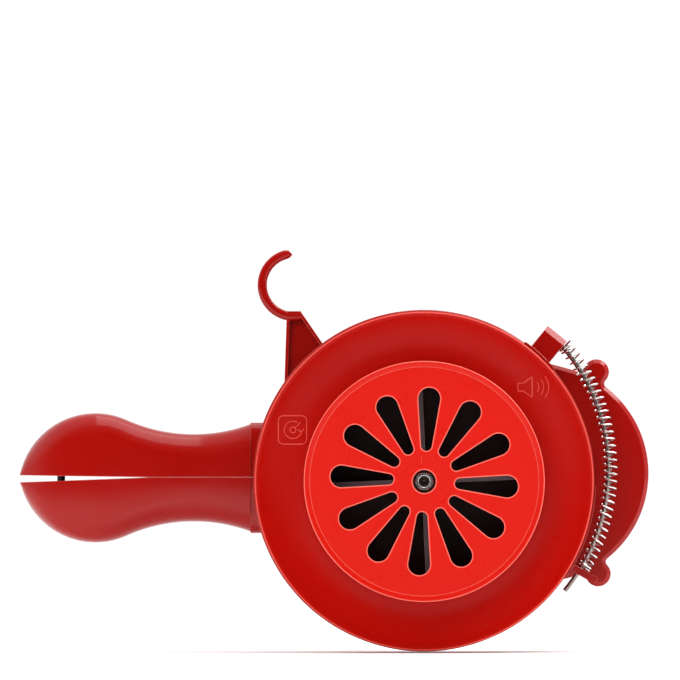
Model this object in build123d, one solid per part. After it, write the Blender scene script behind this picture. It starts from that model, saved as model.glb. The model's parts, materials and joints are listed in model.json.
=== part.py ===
from build123d import *
import math
import os

# Hand crank siren, in millimetres.
# X runs to the right as seen from the front, Y from the intake to the crank side, Z up.
# The origin is on the rotor axis, at the middle of the front rim's outer edge.
# Outlines are drawn in the X-Z plane and given a front and a rear depth along Y.
# Angles are in degrees, from +X towards +Z.

# ---- drum, flange and intake cap ----
RIM_RADIUS = 76.4           # outer edge of the front flange
RIM_LENGTH = 6.0            # cylindrical band on that edge
FLANGE_WALL = 3.0
FLANGE_LIP = (75.0, -4.1)    # radius and depth of the flange's foremost edge
DISH_START = 55.8           # radius at which the flange starts to curve forward
INLET_RADIUS = 46.0         # air inlet inside the cap
DRUM_OUTER = 73.2
DRUM_WALL = 5.0
DRUM_REAR = 47.0            # depth at which the drum meets the rear plate
PORT_COUNT = 12
PORT_ANGLE = 15.0           # width of one sound port
PORT_FRONT, PORT_REAR = 9.0, 29.0

CAP_RADIUS = 54.2
CAP_FACE = -18.0            # depth of the cap's face
CAP_WALL = 2.6
CAP_DOME = 0.7              # how far the face falls back towards the lip
LIP_WIDTH = 2.7
LIP_RISE = 0.6
SLOT_COUNT = 12
SLOT_TURN = -3.5            # whole slot pattern turned from the axes
SLOT_OUTER_REACH, SLOT_OUTER_RADIUS = 42.5, 5.2
SLOT_INNER_REACH, SLOT_INNER_RADIUS = 13.5, 2.7
HUB_HOLE_RADIUS = 5.45
HUB_COLLAR = 2.4            # wall and depth of the collar behind the hub hole

# ---- rear plate ----
PLATE_RADIUS = 77.2
PLATE_REAR = 51.0
BOSS_RADIUS = 12.0          # tube that holds both rotor bearings
BOSS_FRONT = 33.0
BEARING_OUTER, BEARING_WIDTH = 9.5, 6.0
SHAFT_RADIUS = 3.0
RUNNING = 0.03              # radial clearance of a running shaft
PLAY = 0.4                  # gap between parts that pass each other

# ---- rotor ----
ROTOR_RADIUS = 67.0
ROTOR_WALL = 3.0
ROTOR_FRONT, ROTOR_REAR = 7.0, 43.0
VANE_COUNT = 4
VANE_THICK = 2.2
VANE_TURN = 2.5
HUB_RADIUS = 6.5
HUB_CUP = 15.5              # outside of the cup that passes over the bearing boss
NUT_FLATS, NUT_THICK, NUT_BORE = 8.0, 4.0, 2.5
NUT_REAR = -12.5

# ---- shutter ring, lever, rod and spring ----
RING_INNER, RING_OUTER = 73.5, 76.0
RING_TRAVEL = 15.0          # turn that closes every port
WINDOW_EXTRA = 0.5          # windows are this much wider than the ports, each side
LEVER_WIDE, LEVER_HIGH = 11.0, 11.7
LEVER_REACH, LEVER_ANGLE, LEVER_TILT = 83.8, 47.6, 50.7
LEVER_SLOPE = 2.5           # sloped outer front edge
LEVER_FRONT, LEVER_REAR = 30.0, 46.0
SHOE_OUTER = 77.8
SHOE_START, SHOE_END = 40.6, 53.9
ARC_X, ARC_Z = -2.5, 5.0    # centre of the spring's arc
COIL_ARC = 86.6             # radius of the arc through the coils' centres
ROD_ARC = 85.7              # the rod lies on the inner side of the coils
ROD_RADIUS = 1.05
ROD_SIDES = 8
ROD_START, ROD_END = 43.5, -39.6
SPRING_DEPTH = 38.0
SPRING_START, SPRING_END = 40.35, -30.75
COIL_RADIUS = 3.08          # to the wire's centre
WIRE_RADIUS = 0.42
COILS = 36
END_COILS, END_PITCH = 1.5, 1.32
WIRE_SIDES = 4
SPAN_PARTS = 4              # spans per turn, each a pair of arcs

TAB_ANGLE = -29.05          # of the face that the spring bears on
TAB_THICK = 3.2
TAB_REACH = 90.2
TAB_ROUND = 1.0
TAB_FRONT, TAB_REAR = 32.0, 44.0
STRIP_INNER, STRIP_OUTER = 76.4, 77.7
STRIP_START, STRIP_END = -34.0, -1.8

# ---- gear train ----
PRESSURE_ANGLE = 25.0
MAIN_TEETH, IDLER_PINION_TEETH, FIRST_MODULE = 70, 14, 1.25
IDLER_TEETH, ROTOR_PINION_TEETH, SECOND_MODULE = 54, 12, 1.0
BACKLASH = 0.2              # of the module
SMALL_GEAR = 20             # up to this many teeth a flank has two facets
FIRST_FRONT, FIRST_REAR = 65.5, 73.5
SECOND_FRONT, SECOND_REAR = 57.0, 63.0
CRANK_X, CRANK_Z = 52.6, 3.3
AXLE_RADIUS = 5.0

# ---- gear case and cover ----
CASE_RADIUS = 49.0          # round the main gear
CASE_IDLER_RADIUS = 32.9
CASE_ROTOR_RADIUS = 17.0
CASE_WALL = 3.0
CASE_REAR = 79.0
COVER_REAR = 82.0
CASE_BEVEL = 1.6
EAR_REACH, EAR_RADIUS = 52.4, 5.7
NECK_RADIUS = 2.0           # hollow fillet between an ear and the case
BUSH_WALL = 2.0
COLLAR_RADIUS = 13.0
RIB_COUNT = 8

# ---- crank ----
CRANK_LENGTH = 85.0
ARM_FRONT, ARM_REAR = 88.0, 96.0
ARM_HUB, ARM_TIP = 13.0, 9.5
SQUARE = 8.0
KNOB_FRONT, KNOB_REAR = 98.0, 160.0
KNOB_RADIUS = 14.0
KNOB_BOLT_RADIUS = 4.0

# ---- grip ----
GRIP_AXIS_Z = 1.2
GRIP_TIP_X, GRIP_ROOT_X, GRIP_END_X = -182.7, -78.3, -42.0
BULB_X, BULB_DROP, BULB_ARC = -148.5, 5.66, 34.96
NECK_X, NECK_HALF = -104.0, 19.8
ROOT_HALF = 25.0
ROOT_ROUND = 5.0
GRIP_MIDDLE_Y = 66.0
BULB_DEPTH, NECK_DEPTH, ROOT_DEPTH = 20.0, 16.0, 15.0   # half depths
GRIP_ROUND = 11.0
GRIP_SHELL = 2.6
SLIT_TOP, SLIT_BOTTOM, SLIT_ROOT = 2.4, -0.8, 1.5       # heights at the tip and at the slit's end
SLIT_END_X = -92.0
STRAP_PIN_X, STRAP_PIN_RADIUS, STRAP_PIN_LENGTH = -164.0, 1.8, 22.0

# ---- carrying hook ----
HOOK_X, HOOK_Z = -58.8, 88.4
HOOK_INNER, HOOK_OUTER = 12.1, 16.3
HOOK_FRONT, HOOK_REAR = 53.0, 63.0
HOOK_TIP = 92.0             # angle of the tip, whose inner face starts further round
HOOK_TIP_INNER = 135.0
BRACKET_REAR = 65.0
BRACKET = [(-62.0, 73.5), (-63.0, 43.3), (-61.5, 33.0), (-34.0, 45.0), (-55.7, 76.6), (-61.7, 76.6)]
WEB_FRONT, WEB_REAR = 57.0, 60.0
RIB_WALL = 1.4              # ribs round the web's edge


# ---- helpers ----

def polar(radius, angle, centre=(0.0, 0.0)):
    """A point of the X-Z plane."""
    a = math.radians(angle)
    return centre[0] + radius * math.cos(a), centre[1] + radius * math.sin(a)


def slab(outline, front, rear):
    """Solid with this X-Z outline between two depths."""
    return extrude(Plane.XZ.offset(-rear) * outline, amount=rear - front)


def disc(radius, front, rear, at=(0.0, 0.0)):
    return slab(Pos(*at) * Circle(radius), front, rear)


def tube(outer, inner, front, rear, at=(0.0, 0.0)):
    return slab(Pos(*at) * (Circle(outer) - Circle(inner)), front, rear)


def turned(points, at=(0.0, 0.0)):
    """Solid of revolution about Y from (radius, depth) corners."""
    profile = make_face(Polyline(*[(r, y, 0) for r, y in points], close=True))
    return Pos(at[0], 0, at[1]) * revolve(profile, Axis.Y)


def arc_band(inner, outer, start, end):
    """Ring sector of the X-Z plane; its ends are radial."""
    middle = (start + end) / 2
    edges = [
        ThreePointArc(polar(outer, start), polar(outer, middle), polar(outer, end)),
        Line(polar(outer, end), polar(inner, end)),
        ThreePointArc(polar(inner, end), polar(inner, middle), polar(inner, start)),
        Line(polar(inner, start), polar(outer, start)),
    ]
    return make_face(Curve() + edges)


def wedge(angle, middle, radius=100.0):
    """Triangle from the axis outwards, used to cut a port of this width."""
    tips = [polar(radius, middle - angle / 2), polar(radius, middle + angle / 2)]
    return make_face(Polyline((0, 0), *tips, close=True))


def gear_outline(teeth, module, phase):
    """Involute gear with straight facets on its flanks; a tooth is centred on the phase angle."""
    pitch = teeth * module / 2
    base = pitch * math.cos(math.radians(PRESSURE_ANGLE))
    tip, root = pitch + module, pitch - 1.25 * module
    rolled = math.tan(math.radians(PRESSURE_ANGLE)) - math.radians(PRESSURE_ANGLE)
    half_tooth = math.pi / (2 * teeth) - BACKLASH * module / (2 * pitch)

    def half_angle(radius):
        alpha = math.acos(min(1.0, base / radius))
        return math.degrees(half_tooth + rolled - (math.tan(alpha) - alpha))

    low = max(base, root)
    heights = (low, tip) if teeth > SMALL_GEAR else (low, (low + tip) / 2, tip)
    flank = [(r, half_angle(r)) for r in heights]
    if base > root:
        flank.insert(0, (root, flank[0][1]))
    points = []
    for tooth in range(teeth):
        middle = phase + tooth * 360 / teeth
        points += [polar(r, middle - a) for r, a in flank]
        points += [polar(r, middle + a) for r, a in reversed(flank)]
    return make_face(Polyline(*points, close=True))


def gear(teeth, module, phase, front, rear, bore, at):
    return slab(Pos(*at) * (gear_outline(teeth, module, phase) - Circle(bore)), front, rear)


# ---- places worked out from the dimensions ----

CRANK = (CRANK_X, CRANK_Z)
CRANK_REACH = math.hypot(*CRANK)
FIRST_CENTRES = (MAIN_TEETH + IDLER_PINION_TEETH) * FIRST_MODULE / 2
SECOND_CENTRES = (IDLER_TEETH + ROTOR_PINION_TEETH) * SECOND_MODULE / 2
IDLER_OPENING = math.degrees(math.acos(
    (SECOND_CENTRES ** 2 + CRANK_REACH ** 2 - FIRST_CENTRES ** 2)
    / (2 * SECOND_CENTRES * CRANK_REACH)
))
IDLER = polar(SECOND_CENTRES, math.degrees(math.atan2(CRANK_Z, CRANK_X)) + IDLER_OPENING)
KNOB = (CRANK_X - CRANK_LENGTH, CRANK_Z)

EARS = [polar(EAR_REACH, a, CRANK) for a in (61, -60, 238)]
EARS.append(polar(CASE_IDLER_RADIUS + 3.4, 140, IDLER))


def direction(a, b):
    """Angle of the line from one X-Z point to another."""
    return math.degrees(math.atan2(b[1] - a[1], b[0] - a[0]))


# ---- front of the housing ----

def slot_outline(angle):
    """Petal slot: two round ends joined by their common tangents."""
    outer = Pos(*polar(SLOT_OUTER_REACH - SLOT_OUTER_RADIUS, angle)) * Circle(SLOT_OUTER_RADIUS)
    inner = Pos(*polar(SLOT_INNER_REACH + SLOT_INNER_RADIUS, angle)) * Circle(SLOT_INNER_RADIUS)
    return make_hull((outer + inner).edges())


def front_grille():
    face_edge = CAP_RADIUS - LIP_WIDTH
    lip_face = CAP_FACE - LIP_RISE
    inside = CAP_FACE + CAP_WALL
    cap = turned([
        (0, CAP_FACE), (face_edge, CAP_FACE + CAP_DOME), (face_edge + 0.5, lip_face),
        (CAP_RADIUS - 0.8, lip_face), (CAP_RADIUS, lip_face + 0.8), (CAP_RADIUS, 0),
        (CAP_RADIUS - CAP_WALL, 0), (CAP_RADIUS - CAP_WALL, inside), (0, inside),
    ])
    cap += disc(HUB_HOLE_RADIUS + HUB_COLLAR, inside, inside + HUB_COLLAR)
    for n in range(SLOT_COUNT):
        angle = 90 + SLOT_TURN + n * 360 / SLOT_COUNT
        cap -= slab(slot_outline(angle), CAP_FACE - 2, inside + 1)
    return cap - disc(HUB_HOLE_RADIUS, CAP_FACE - 2, 0)


def port_cutters(angle, front, rear):
    return [slab(wedge(angle, n * 360 / PORT_COUNT), front, rear) for n in range(PORT_COUNT)]


def front_housing():
    """Dished flange, rim, inlet ring and ported drum in one moulding."""
    half_rim = RIM_LENGTH / 2
    lip = FLANGE_LIP
    outline = [
        Polyline((lip[0], lip[1], 0), (lip[0] + 0.9, lip[1] + 0.2, 0), (RIM_RADIUS, -half_rim, 0),
                 (RIM_RADIUS, half_rim, 0), (DRUM_OUTER, half_rim, 0), (DRUM_OUTER, DRUM_REAR, 0),
                 (DRUM_OUTER - DRUM_WALL, DRUM_REAR, 0), (DRUM_OUTER - DRUM_WALL, FLANGE_WALL, 0),
                 (INLET_RADIUS, FLANGE_WALL, 0), (INLET_RADIUS, 0, 0), (DISH_START, 0, 0)),
        ThreePointArc((DISH_START, 0, 0), (68.0, -0.9, 0), (lip[0], lip[1], 0)),
    ]
    housing = revolve(make_face(Curve() + outline), Axis.Y)
    core = disc(DRUM_OUTER - DRUM_WALL - 1, PORT_FRONT, PORT_REAR)
    for cutter in port_cutters(PORT_ANGLE, PORT_FRONT, PORT_REAR):
        housing -= cutter - core
    return housing


# ---- rear plate with the spring tab ----

def rod_reach(angle, turn):
    """Distance of the rod from the rotor axis, seen along an angle, once the ring has turned."""
    a = math.radians(angle + turn)
    along = ARC_X * math.cos(a) + ARC_Z * math.sin(a)
    across = ARC_X * math.sin(a) - ARC_Z * math.cos(a)
    return along + math.sqrt(ROD_ARC ** 2 - across ** 2)


def spring_tab():
    """Plate square to the rod, on a strip that reaches forward over the shutter ring."""
    strip = slab(arc_band(STRIP_INNER, STRIP_OUTER, STRIP_START, STRIP_END), TAB_FRONT - 2, PLATE_REAR)
    inner = STRIP_INNER + 0.4
    outline = Pos((inner + TAB_REACH) / 2, -TAB_THICK / 2) * Rectangle(TAB_REACH - inner, TAB_THICK)
    outline = fillet(outline.vertices().group_by(Axis.X)[-1], TAB_ROUND)
    plate = slab(Rot(0, 0, TAB_ANGLE) * outline, TAB_FRONT, TAB_REAR)
    low, high = sorted((rod_reach(TAB_ANGLE, 0), rod_reach(TAB_ANGLE, RING_TRAVEL)))
    middle = Rot(0, 0, TAB_ANGLE) * Pos((low + high) / 2, -TAB_THICK / 2)
    margin = ROD_RADIUS + 0.7
    opening = middle * Rectangle(high - low + 2 * margin, TAB_THICK + 2)
    return strip + plate - slab(opening, SPRING_DEPTH - margin, SPRING_DEPTH + margin)


def rear_plate():
    """Round plate with the bearing boss towards the rotor."""
    plate = turned([
        (0, DRUM_REAR), (PLATE_RADIUS - 0.6, DRUM_REAR), (PLATE_RADIUS, DRUM_REAR + 0.6),
        (PLATE_RADIUS, PLATE_REAR), (0, PLATE_REAR),
    ])
    plate += disc(BOSS_RADIUS, BOSS_FRONT, DRUM_REAR) + spring_tab()
    plate -= disc(BEARING_OUTER, BOSS_FRONT - 1, BOSS_FRONT + BEARING_WIDTH)
    plate -= disc(BEARING_OUTER, PLATE_REAR - BEARING_WIDTH, PLATE_REAR + 1)
    return plate - disc(BEARING_OUTER - 2, BOSS_FRONT, PLATE_REAR)


# ---- gear case ----

def gear_rounds(wall):
    """Hull round the three gear centres, this far inside the case's outside."""
    rounds = (Pos(*CRANK) * Circle(CASE_RADIUS - wall) + Pos(*IDLER) * Circle(CASE_IDLER_RADIUS - wall)
              + Circle(CASE_ROTOR_RADIUS - wall))
    return make_hull(rounds.edges())


def case_outline():
    """Case with its screw ears on hollow fillets."""
    outline = gear_rounds(0)
    for place in EARS:
        outline += Pos(*place) * Circle(EAR_RADIUS)
    return offset(offset(outline, NECK_RADIUS), -NECK_RADIUS)


def gear_case():
    """Cup that holds the train, closed towards the drum."""
    floor = PLATE_REAR + CASE_WALL
    case = slab(case_outline(), PLATE_REAR, CASE_REAR)
    case = chamfer(case.edges().group_by(Axis.Y)[0], CASE_BEVEL)
    case -= slab(gear_rounds(CASE_WALL), floor, CASE_REAR + 1)
    case += disc(AXLE_RADIUS + BUSH_WALL + 2.5, floor - 0.5, floor + 7, CRANK)
    case += disc(SHAFT_RADIUS + BUSH_WALL + 2.5, floor - 0.5, floor + 2, IDLER)
    case -= disc(AXLE_RADIUS + BUSH_WALL, floor - 1, floor + 8, CRANK)
    case -= disc(SHAFT_RADIUS + BUSH_WALL, floor - 2, floor + 3, IDLER)
    return case - disc(SHAFT_RADIUS + 1.5, PLATE_REAR - 1, floor + 1)


def gear_cover():
    """Lid with a collar and ribs round the crank axle."""
    cover = slab(case_outline(), CASE_REAR, COVER_REAR)
    cover += disc(COLLAR_RADIUS, COVER_REAR - 0.5, COVER_REAR + 3, CRANK)
    for n in range(RIB_COUNT):
        rib = Pos(*CRANK) * Rot(0, 0, n * 360 / RIB_COUNT) * Pos(25, 0) * Rectangle(30, 2)
        cover += slab(rib, COVER_REAR - 0.5, COVER_REAR + 1.6)
    cover += disc(AXLE_RADIUS + BUSH_WALL + 2.5, CASE_REAR - 2.5, CASE_REAR + 0.5, CRANK)
    cover += disc(SHAFT_RADIUS + BUSH_WALL + 2.5, CASE_REAR - 3, CASE_REAR + 0.5, IDLER)
    cover -= disc(AXLE_RADIUS + BUSH_WALL, CASE_REAR - 4, COVER_REAR + 4, CRANK)
    return cover - disc(SHAFT_RADIUS + BUSH_WALL, CASE_REAR - 4, CASE_REAR + 1, IDLER)


# ---- grip ----

def bulb_half(x):
    """Half height of the grip's outline, from two tangent arcs and the flare to the root."""
    neck_arc = math.hypot(NECK_X - BULB_X, BULB_DROP + NECK_HALF) - BULB_ARC
    for _ in range(40):
        neck_centre = NECK_HALF + neck_arc
        neck_arc = math.hypot(NECK_X - BULB_X, BULB_DROP + neck_centre) - BULB_ARC
    share = BULB_ARC / (BULB_ARC + neck_arc)
    touch = BULB_X + (NECK_X - BULB_X) * share
    if x < touch:
        return math.sqrt(BULB_ARC ** 2 - (x - BULB_X) ** 2) - BULB_DROP
    return NECK_HALF + neck_arc - math.sqrt(neck_arc ** 2 - (x - NECK_X) ** 2)


def grip_depth(x):
    """Half depth of the grip along Y."""
    if x < BULB_X:
        reach = (BULB_X - x) / 36.0
        return BULB_DEPTH * math.sqrt(1 - reach ** 2)
    share = min(1.0, (x - BULB_X) / (NECK_X - BULB_X))
    eased = share * share * (3 - 2 * share)
    return BULB_DEPTH + (NECK_DEPTH - BULB_DEPTH) * eased


def grip_section(x, half_height, half_depth, inset):
    high, deep = half_height - inset, half_depth - inset
    corner = min(GRIP_ROUND - inset, high * 0.8, deep * 0.8)
    plane = Plane(origin=(x, GRIP_MIDDLE_Y, GRIP_AXIS_Z), x_dir=(0, 1, 0), z_dir=(1, 0, 0))
    return plane * RectangleRounded(2 * deep, 2 * high, corner)


def grip_body(inset):
    """The whole grip, or with an inset the hollow inside it."""
    tip = GRIP_TIP_X + inset * 1.6
    stations = [tip, tip + 2.5, tip + 8, tip + 18, BULB_X, -132, -118, NECK_X, -91, GRIP_ROOT_X]
    sections = [grip_section(x, bulb_half(x), grip_depth(x), inset) for x in stations]
    body = loft(sections)
    root = Plane(origin=(GRIP_ROOT_X, GRIP_MIDDLE_Y, GRIP_AXIS_Z), x_dir=(0, 1, 0), z_dir=(1, 0, 0))
    section = RectangleRounded(2 * (ROOT_DEPTH - inset), 2 * (ROOT_HALF - inset), ROOT_ROUND - inset)
    return body + extrude(root * section, amount=GRIP_END_X - GRIP_ROOT_X)


def slit():
    """Cut between the two halves: a wedge at the free end and a hairline at the root."""
    depth = 2 * BULB_DEPTH + 20
    corners = [
        (GRIP_TIP_X - 5, SLIT_TOP), (SLIT_END_X, SLIT_ROOT + 0.02), (GRIP_END_X + 5, SLIT_ROOT + 0.02),
        (GRIP_END_X + 5, SLIT_ROOT - 0.02), (SLIT_END_X, SLIT_ROOT - 0.02), (GRIP_TIP_X - 5, SLIT_BOTTOM),
    ]
    outline = make_face(Polyline(*corners, close=True))
    return slab(outline, GRIP_MIDDLE_Y - depth / 2, GRIP_MIDDLE_Y + depth / 2)


def strap_pin():
    pin = Cylinder(STRAP_PIN_RADIUS, STRAP_PIN_LENGTH)
    return Pos(STRAP_PIN_X, GRIP_MIDDLE_Y, GRIP_AXIS_Z) * pin


# ---- carrying hook ----

def hook_outline():
    """Three quarters of a ring, thin at its tip."""
    centre = (HOOK_X, HOOK_Z)
    root, root_inner = HOOK_TIP + 170, HOOK_TIP + 183
    edges = [
        ThreePointArc(polar(HOOK_OUTER, HOOK_TIP + 12, centre), polar(HOOK_OUTER, 185, centre),
                      polar(HOOK_OUTER, root, centre)),
        Line(polar(HOOK_OUTER, root, centre), polar(HOOK_INNER, root_inner, centre)),
        ThreePointArc(polar(HOOK_INNER, root_inner, centre), polar(HOOK_INNER, 200, centre),
                      polar(HOOK_INNER, HOOK_TIP_INNER, centre)),
        Line(polar(HOOK_INNER, HOOK_TIP_INNER, centre), polar(HOOK_OUTER - 1.6, HOOK_TIP, centre)),
        Line(polar(HOOK_OUTER - 1.6, HOOK_TIP, centre), polar(HOOK_OUTER, HOOK_TIP + 12, centre)),
    ]
    return make_face(Curve() + edges)


def hook_bracket():
    """Open hook on a web with ribs round its edge, whose foot lies on the rear plate."""
    plate = make_face(Polyline(*BRACKET, close=True))
    pocket = offset(plate, -RIB_WALL)
    hook = slab(hook_outline(), HOOK_FRONT, HOOK_REAR) + slab(plate, PLATE_REAR, BRACKET_REAR)
    hook -= slab(pocket, PLATE_REAR - 1, WEB_FRONT) + slab(pocket, WEB_REAR, BRACKET_REAR + 1)
    return hook - disc(HOOK_INNER, PLATE_REAR, BRACKET_REAR, (HOOK_X, HOOK_Z))


# ---- rotor ----

def rotor():
    """Outer ring of the rotor, whose ports chop the air at the drum's ports."""
    ring = tube(ROTOR_RADIUS, ROTOR_RADIUS - ROTOR_WALL, ROTOR_FRONT, ROTOR_REAR - ROTOR_WALL)
    core = disc(ROTOR_RADIUS - ROTOR_WALL - 0.5, PORT_FRONT, PORT_REAR)
    for n in range(PORT_COUNT):
        middle = VANE_TURN + (n + 0.5) * 360 / PORT_COUNT
        ring -= slab(wedge(PORT_ANGLE, middle), PORT_FRONT + 0.5, PORT_REAR - 0.5) - core
    return ring


def rotor_back():
    return tube(ROTOR_RADIUS, HUB_CUP, ROTOR_REAR - ROTOR_WALL, ROTOR_REAR)


def rotor_hub():
    """Hub that widens into a cup round the bearing boss."""
    inner = BOSS_RADIUS + 1.0
    web_rear = BOSS_FRONT - 2
    return turned([
        (SHAFT_RADIUS, NUT_REAR + 1), (HUB_RADIUS, NUT_REAR + 1), (HUB_RADIUS, web_rear - ROTOR_WALL),
        (HUB_CUP, web_rear - ROTOR_WALL), (HUB_CUP, ROTOR_REAR), (inner, ROTOR_REAR),
        (inner, web_rear), (SHAFT_RADIUS, web_rear),
    ])


def rotor_vane(number):
    """Straight vane from the hub to the ring, cut to their curves."""
    middle = (HUB_RADIUS + ROTOR_RADIUS) / 2
    outline = Pos(middle, 0) * Rectangle(ROTOR_RADIUS - HUB_RADIUS + 2, VANE_THICK)
    outline &= Circle(ROTOR_RADIUS - ROTOR_WALL) - Circle(HUB_RADIUS)
    outline = Rot(0, 0, VANE_TURN + number * 360 / VANE_COUNT) * outline
    vane = slab(outline, ROTOR_FRONT, ROTOR_REAR - ROTOR_WALL)
    return vane - disc(HUB_CUP, BOSS_FRONT - 2 - ROTOR_WALL, ROTOR_REAR)


def rotor_shaft():
    return turned([
        (0, NUT_REAR - NUT_THICK - 0.4), (NUT_BORE, NUT_REAR - NUT_THICK - 0.4), (NUT_BORE, NUT_REAR + 1),
        (SHAFT_RADIUS, NUT_REAR + 1), (SHAFT_RADIUS, 64.4), (0, 64.4),
    ])


def hex_nut(flats, bore, front, rear, at=(0.0, 0.0), turn=90):
    """Nut with chamfered corners; the turn angle points at one corner."""
    corner = flats / math.sqrt(3)
    body = slab(Pos(*at) * (RegularPolygon(corner, 6, rotation=turn) - Circle(bore)), front, rear)
    cone = turned([
        (0, front), (flats / 2, front), (corner, front + 0.7), (corner, rear - 0.7),
        (flats / 2, rear), (0, rear),
    ], at)
    return body & cone


def bearing(front):
    return tube(BEARING_OUTER, SHAFT_RADIUS + RUNNING, front, front + BEARING_WIDTH)


def rotor_pinion():
    """A tooth gap faces the idler gear."""
    phase = direction((0, 0), IDLER) + 180 / ROTOR_PINION_TEETH
    return gear(ROTOR_PINION_TEETH, SECOND_MODULE, phase, SECOND_FRONT - 0.5, SECOND_REAR,
                SHAFT_RADIUS, (0, 0))


# ---- idler ----

def idler_gear():
    phase = direction(IDLER, (0, 0))
    return gear(IDLER_TEETH, SECOND_MODULE, phase, SECOND_FRONT, SECOND_REAR, SHAFT_RADIUS, IDLER)


def idler_pinion():
    """A tooth gap faces the main gear."""
    phase = direction(IDLER, CRANK) + 180 / IDLER_PINION_TEETH
    return gear(IDLER_PINION_TEETH, FIRST_MODULE, phase, SECOND_REAR, FIRST_REAR + 1, SHAFT_RADIUS, IDLER)


def bush(inner, front, rear, at, flange=0.0):
    """Plain bush; a flange stands outside the housing, towards the rear."""
    ring = tube(inner + BUSH_WALL, inner + RUNNING, front, rear, at)
    if flange:
        ring += tube(inner + BUSH_WALL + flange, inner + RUNNING, rear, rear + 1, at)
    return ring


# ---- crank ----

def main_gear():
    phase = direction(CRANK, IDLER)
    wheel = gear(MAIN_TEETH, FIRST_MODULE, phase, FIRST_FRONT, FIRST_REAR, AXLE_RADIUS, CRANK)
    wheel -= tube(38.5, 11.5, FIRST_REAR - 2.5, FIRST_REAR + 1, CRANK)
    keyway = Pos(CRANK_X, CRANK_Z + AXLE_RADIUS) * Rectangle(2, 3)
    return wheel - slab(keyway, FIRST_FRONT - 1, FIRST_REAR + 1)


def gear_key():
    return slab(Pos(CRANK_X, CRANK_Z + AXLE_RADIUS) * Rectangle(2, 2.9), FIRST_FRONT, FIRST_REAR)


def crank_axle():
    axle = disc(AXLE_RADIUS, PLATE_REAR + CASE_WALL - 0.5, ARM_FRONT - 0.4, CRANK)
    axle += slab(Pos(*CRANK) * Rectangle(SQUARE - 0.1, SQUARE - 0.1), ARM_FRONT - 0.5, ARM_REAR)
    axle += disc(3.0, ARM_REAR - 0.5, ARM_REAR + 6.5, CRANK)
    keyway = Pos(CRANK_X, CRANK_Z + AXLE_RADIUS) * Rectangle(2, 2.9)
    return axle - slab(keyway, FIRST_FRONT, FIRST_REAR)


def crank_arm():
    """Tapered arm with round ends and a lightening groove on its rear face."""
    ends = Pos(*CRANK) * Circle(ARM_HUB) + Pos(*KNOB) * Circle(ARM_TIP)
    arm = slab(make_hull(ends.edges()), ARM_FRONT + 1, ARM_REAR)
    arm += disc(ARM_HUB, ARM_FRONT, ARM_REAR, CRANK)
    arm = chamfer(arm.edges().group_by(Axis.Y)[-1], 1.2)
    inner = Pos(CRANK_X - 22, CRANK_Z) * Circle(6.5) + Pos(KNOB[0] + 15, KNOB[1]) * Circle(4.5)
    arm -= slab(make_hull(inner.edges()), ARM_REAR - 2.5, ARM_REAR + 1)
    arm -= slab(Pos(*CRANK) * Rectangle(SQUARE, SQUARE), ARM_FRONT - 1, ARM_REAR + 1)
    return arm - disc(3.05, ARM_FRONT - 1, ARM_REAR + 1, KNOB)


def knob_bolt():
    """Shoulder bolt: nut end behind the arm, shoulder through the knob, flat head."""
    return turned([
        (0, ARM_FRONT + 1), (3.0, ARM_FRONT + 1), (3.0, ARM_REAR), (KNOB_BOLT_RADIUS + 2, ARM_REAR),
        (KNOB_BOLT_RADIUS + 2, ARM_REAR + 1.4), (KNOB_BOLT_RADIUS, ARM_REAR + 1.4),
        (KNOB_BOLT_RADIUS, KNOB_REAR - 6), (KNOB_BOLT_RADIUS + 3, KNOB_REAR - 6),
        (KNOB_BOLT_RADIUS + 3, KNOB_REAR - 3), (0, KNOB_REAR - 3),
    ], KNOB)


def crank_knob():
    """Barrel knob with a recess for the bolt head."""
    bore = KNOB_BOLT_RADIUS + 0.06
    recess = KNOB_BOLT_RADIUS + 3.4
    start, end = KNOB_FRONT + 2.5, KNOB_REAR - 4
    outline = [
        Polyline((KNOB_RADIUS - 1.2, end, 0), (KNOB_RADIUS - 4, KNOB_REAR, 0), (recess, KNOB_REAR, 0),
                 (recess, KNOB_REAR - 6.4, 0), (bore, KNOB_REAR - 6.4, 0), (bore, KNOB_FRONT, 0),
                 (KNOB_RADIUS - 4, KNOB_FRONT, 0), (KNOB_RADIUS - 1.8, start, 0)),
        ThreePointArc((KNOB_RADIUS - 1.8, start, 0), (KNOB_RADIUS, (start + end) / 2, 0),
                      (KNOB_RADIUS - 1.2, end, 0)),
    ]
    return Pos(KNOB[0], 0, KNOB[1]) * revolve(make_face(Curve() + outline), Axis.Y)


# ---- shutter ----

def shutter_ring():
    ring = tube(RING_OUTER, RING_INNER, RIM_LENGTH / 2 + PLAY, DRUM_REAR - PLAY)
    core = disc(RING_INNER - 1, PORT_FRONT - 1, PORT_REAR + 1)
    for cutter in port_cutters(PORT_ANGLE + 2 * WINDOW_EXTRA, PORT_FRONT - 0.5, PORT_REAR + 0.5):
        ring -= cutter - core
    return ring


def shutter_lever():
    """Thumb block on a curved shoe, with a sloped outer edge."""
    shoe = slab(arc_band(RING_OUTER, SHOE_OUTER, SHOE_START, SHOE_END), LEVER_FRONT, LEVER_REAR)
    foot = 1.2
    section = Rot(0, 0, LEVER_TILT) * Pos(-foot / 2, 0) * Rectangle(LEVER_HIGH + foot, LEVER_WIDE)
    block = slab(Pos(*polar(LEVER_REACH, LEVER_ANGLE)) * section, LEVER_FRONT + 1, LEVER_REAR)
    front_edges = block.edges().group_by(Axis.Y)[0]
    block = chamfer(front_edges.sort_by(lambda edge: (edge @ 0.5).length)[-1], LEVER_SLOPE)
    block -= disc(RING_OUTER, LEVER_FRONT, LEVER_REAR + 1)
    return shoe + block - rod_solid(ROD_RADIUS + RUNNING)


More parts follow.
